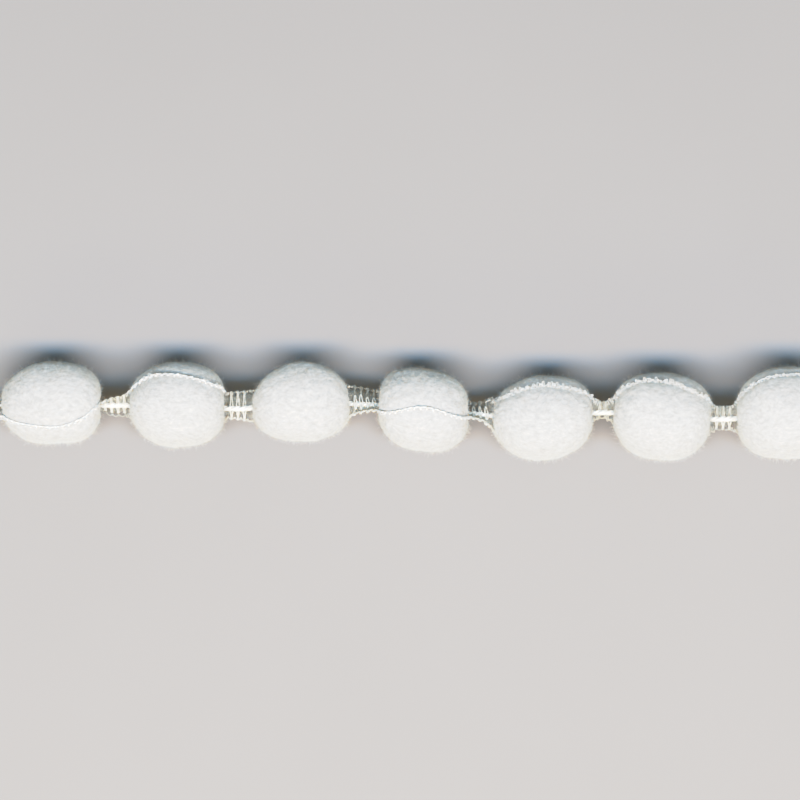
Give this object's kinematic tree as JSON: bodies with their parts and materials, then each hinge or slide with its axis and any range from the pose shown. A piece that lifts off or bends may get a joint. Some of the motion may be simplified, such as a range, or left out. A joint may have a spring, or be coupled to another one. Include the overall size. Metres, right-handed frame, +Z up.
{
  "type": "pompom fringe trim",
  "caption": "Pompom fringe trim: clipped velvety pile balls strung close together on a narrow openwork crochet braid, cut to a short length.",
  "frame": {"origin": "on the surface the trim lies on, under the middle of the whole trim", "axes": "+X along the trim, +Y across it, +Z up, away from the surface"},
  "size_m": [0.1268, 0.0147, 0.0129],
  "materials": {
    "pile": "clipped velvety yarn pile, neutral white, matt with a soft sheen",
    "braid": "off-white filament yarn in crochet chain stitches, with a silky gloss"
  },
  "bodies": {
    "root": {"pompom_1": "pile", "pompom_2": "pile", "pompom_3": "pile", "pompom_4": "pile", "pompom_5": "pile", "pompom_6": "pile", "pompom_7": "pile", "ladder_1": "braid", "ladder_2": "braid", "ladder_3": "braid", "ladder_4": "braid", "ladder_5": "braid", "ladder_6": "braid", "ladder_7": "braid", "ladder_8": "braid", "chain_a_1": "braid", "chain_b_1": "braid", "chain_a_2": "braid", "chain_b_2": "braid", "chain_a_3": "braid", "chain_b_3": "braid", "chain_a_4": "braid", "chain_b_4": "braid", "chain_a_5": "braid", "chain_b_5": "braid", "chain_a_6": "braid", "chain_b_6": "braid", "chain_a_7": "braid", "chain_b_7": "braid"}
  },
  "joints": []
}
